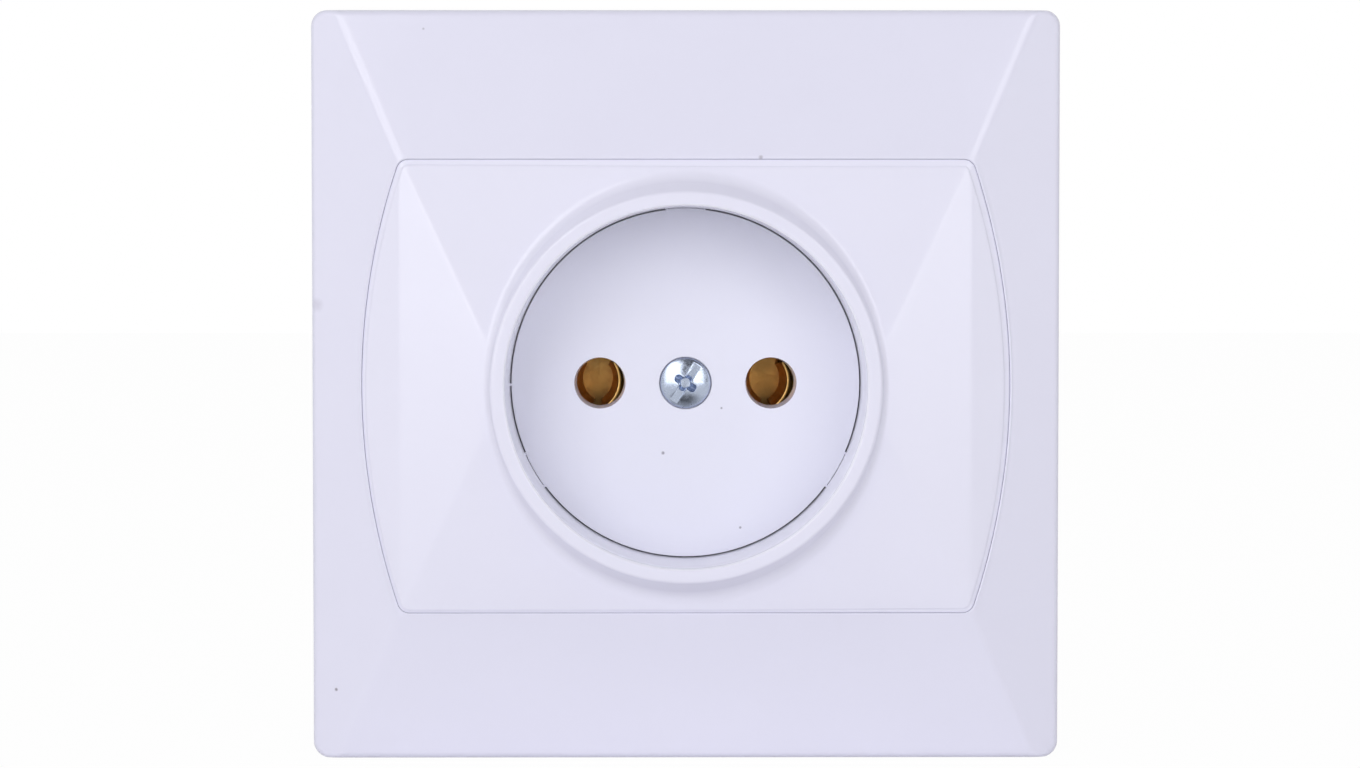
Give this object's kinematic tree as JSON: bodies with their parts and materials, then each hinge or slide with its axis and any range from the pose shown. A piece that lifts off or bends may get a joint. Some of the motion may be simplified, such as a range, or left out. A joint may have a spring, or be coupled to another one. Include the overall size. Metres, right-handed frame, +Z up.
{
  "type": "wall socket",
  "caption": "Flush wall socket with a sloped square frame, a cover plate with bowed sides, a deep round well with round pin holes, a steel support plate and spreader claws.",
  "frame": {"origin": "centre of the wall plane, on the back of the support plate", "axes": "X right, Y into the wall, Z up; the front faces -Y"},
  "size_m": [0.082, 0.0356, 0.082],
  "materials": {
    "frame_white": "smooth white moulding",
    "cover_white": "smooth white moulding",
    "face_white": "smooth white moulding",
    "screw_steel": "bright zinc plate",
    "plate_steel": "zinc plated sheet",
    "claw_steel": "passivated zinc plate",
    "brass": "stamped brass",
    "base_plastic": "dark moulded insulation"
  },
  "bodies": {
    "socket": {"outer_frame": "frame_white", "cover_plate": "cover_white", "socket_face": "face_white", "cover_screw": "screw_steel", "cover_nut": "brass", "support_plate": "plate_steel", "base_cover": "base_plastic", "contact_base": "base_plastic", "base_rivets": "screw_steel", "contact_left": "brass", "contact_right": "brass", "terminal_clamp_left_top": "screw_steel", "terminal_screw_left_top": "screw_steel", "terminal_clamp_left_bottom": "screw_steel", "terminal_screw_left_bottom": "screw_steel", "claw_screw_left": "screw_steel", "terminal_clamp_right_top": "screw_steel", "terminal_screw_right_top": "screw_steel", "terminal_clamp_right_bottom": "screw_steel", "terminal_screw_right_bottom": "screw_steel", "claw_screw_right": "screw_steel"},
    "claw_left": {"claw_left": "claw_steel"},
    "claw_nut_left": {"claw_nut_left": "claw_steel"},
    "claw_right": {"claw_right": "claw_steel"},
    "claw_nut_right": {"claw_nut_right": "claw_steel"}
  },
  "joints": [
    {"name": "claw_left_swing", "type": "hinge", "parent": "socket", "child": "claw_left", "pos_m": [-0.0198, 0.00953, 0], "axis": [0, 0, 1], "range_deg": [0, 30]},
    {"name": "claw_nut_left_travel", "type": "slide", "parent": "socket", "child": "claw_nut_left", "axis": [0, -1, 0], "range_m": [0, 0.00244]},
    {"name": "claw_right_swing", "type": "hinge", "parent": "socket", "child": "claw_right", "pos_m": [0.0198, 0.00953, 0], "axis": [0, 0, -1], "range_deg": [0, 30]},
    {"name": "claw_nut_right_travel", "type": "slide", "parent": "socket", "child": "claw_nut_right", "axis": [0, -1, 0], "range_m": [0, 0.00244]}
  ],
  "couplings": [
    {"joint": "claw_nut_left_travel", "follows": "claw_left_swing", "m_per_rad": 0.0046565},
    {"joint": "claw_nut_right_travel", "follows": "claw_right_swing", "m_per_rad": 0.0046565}
  ]
}
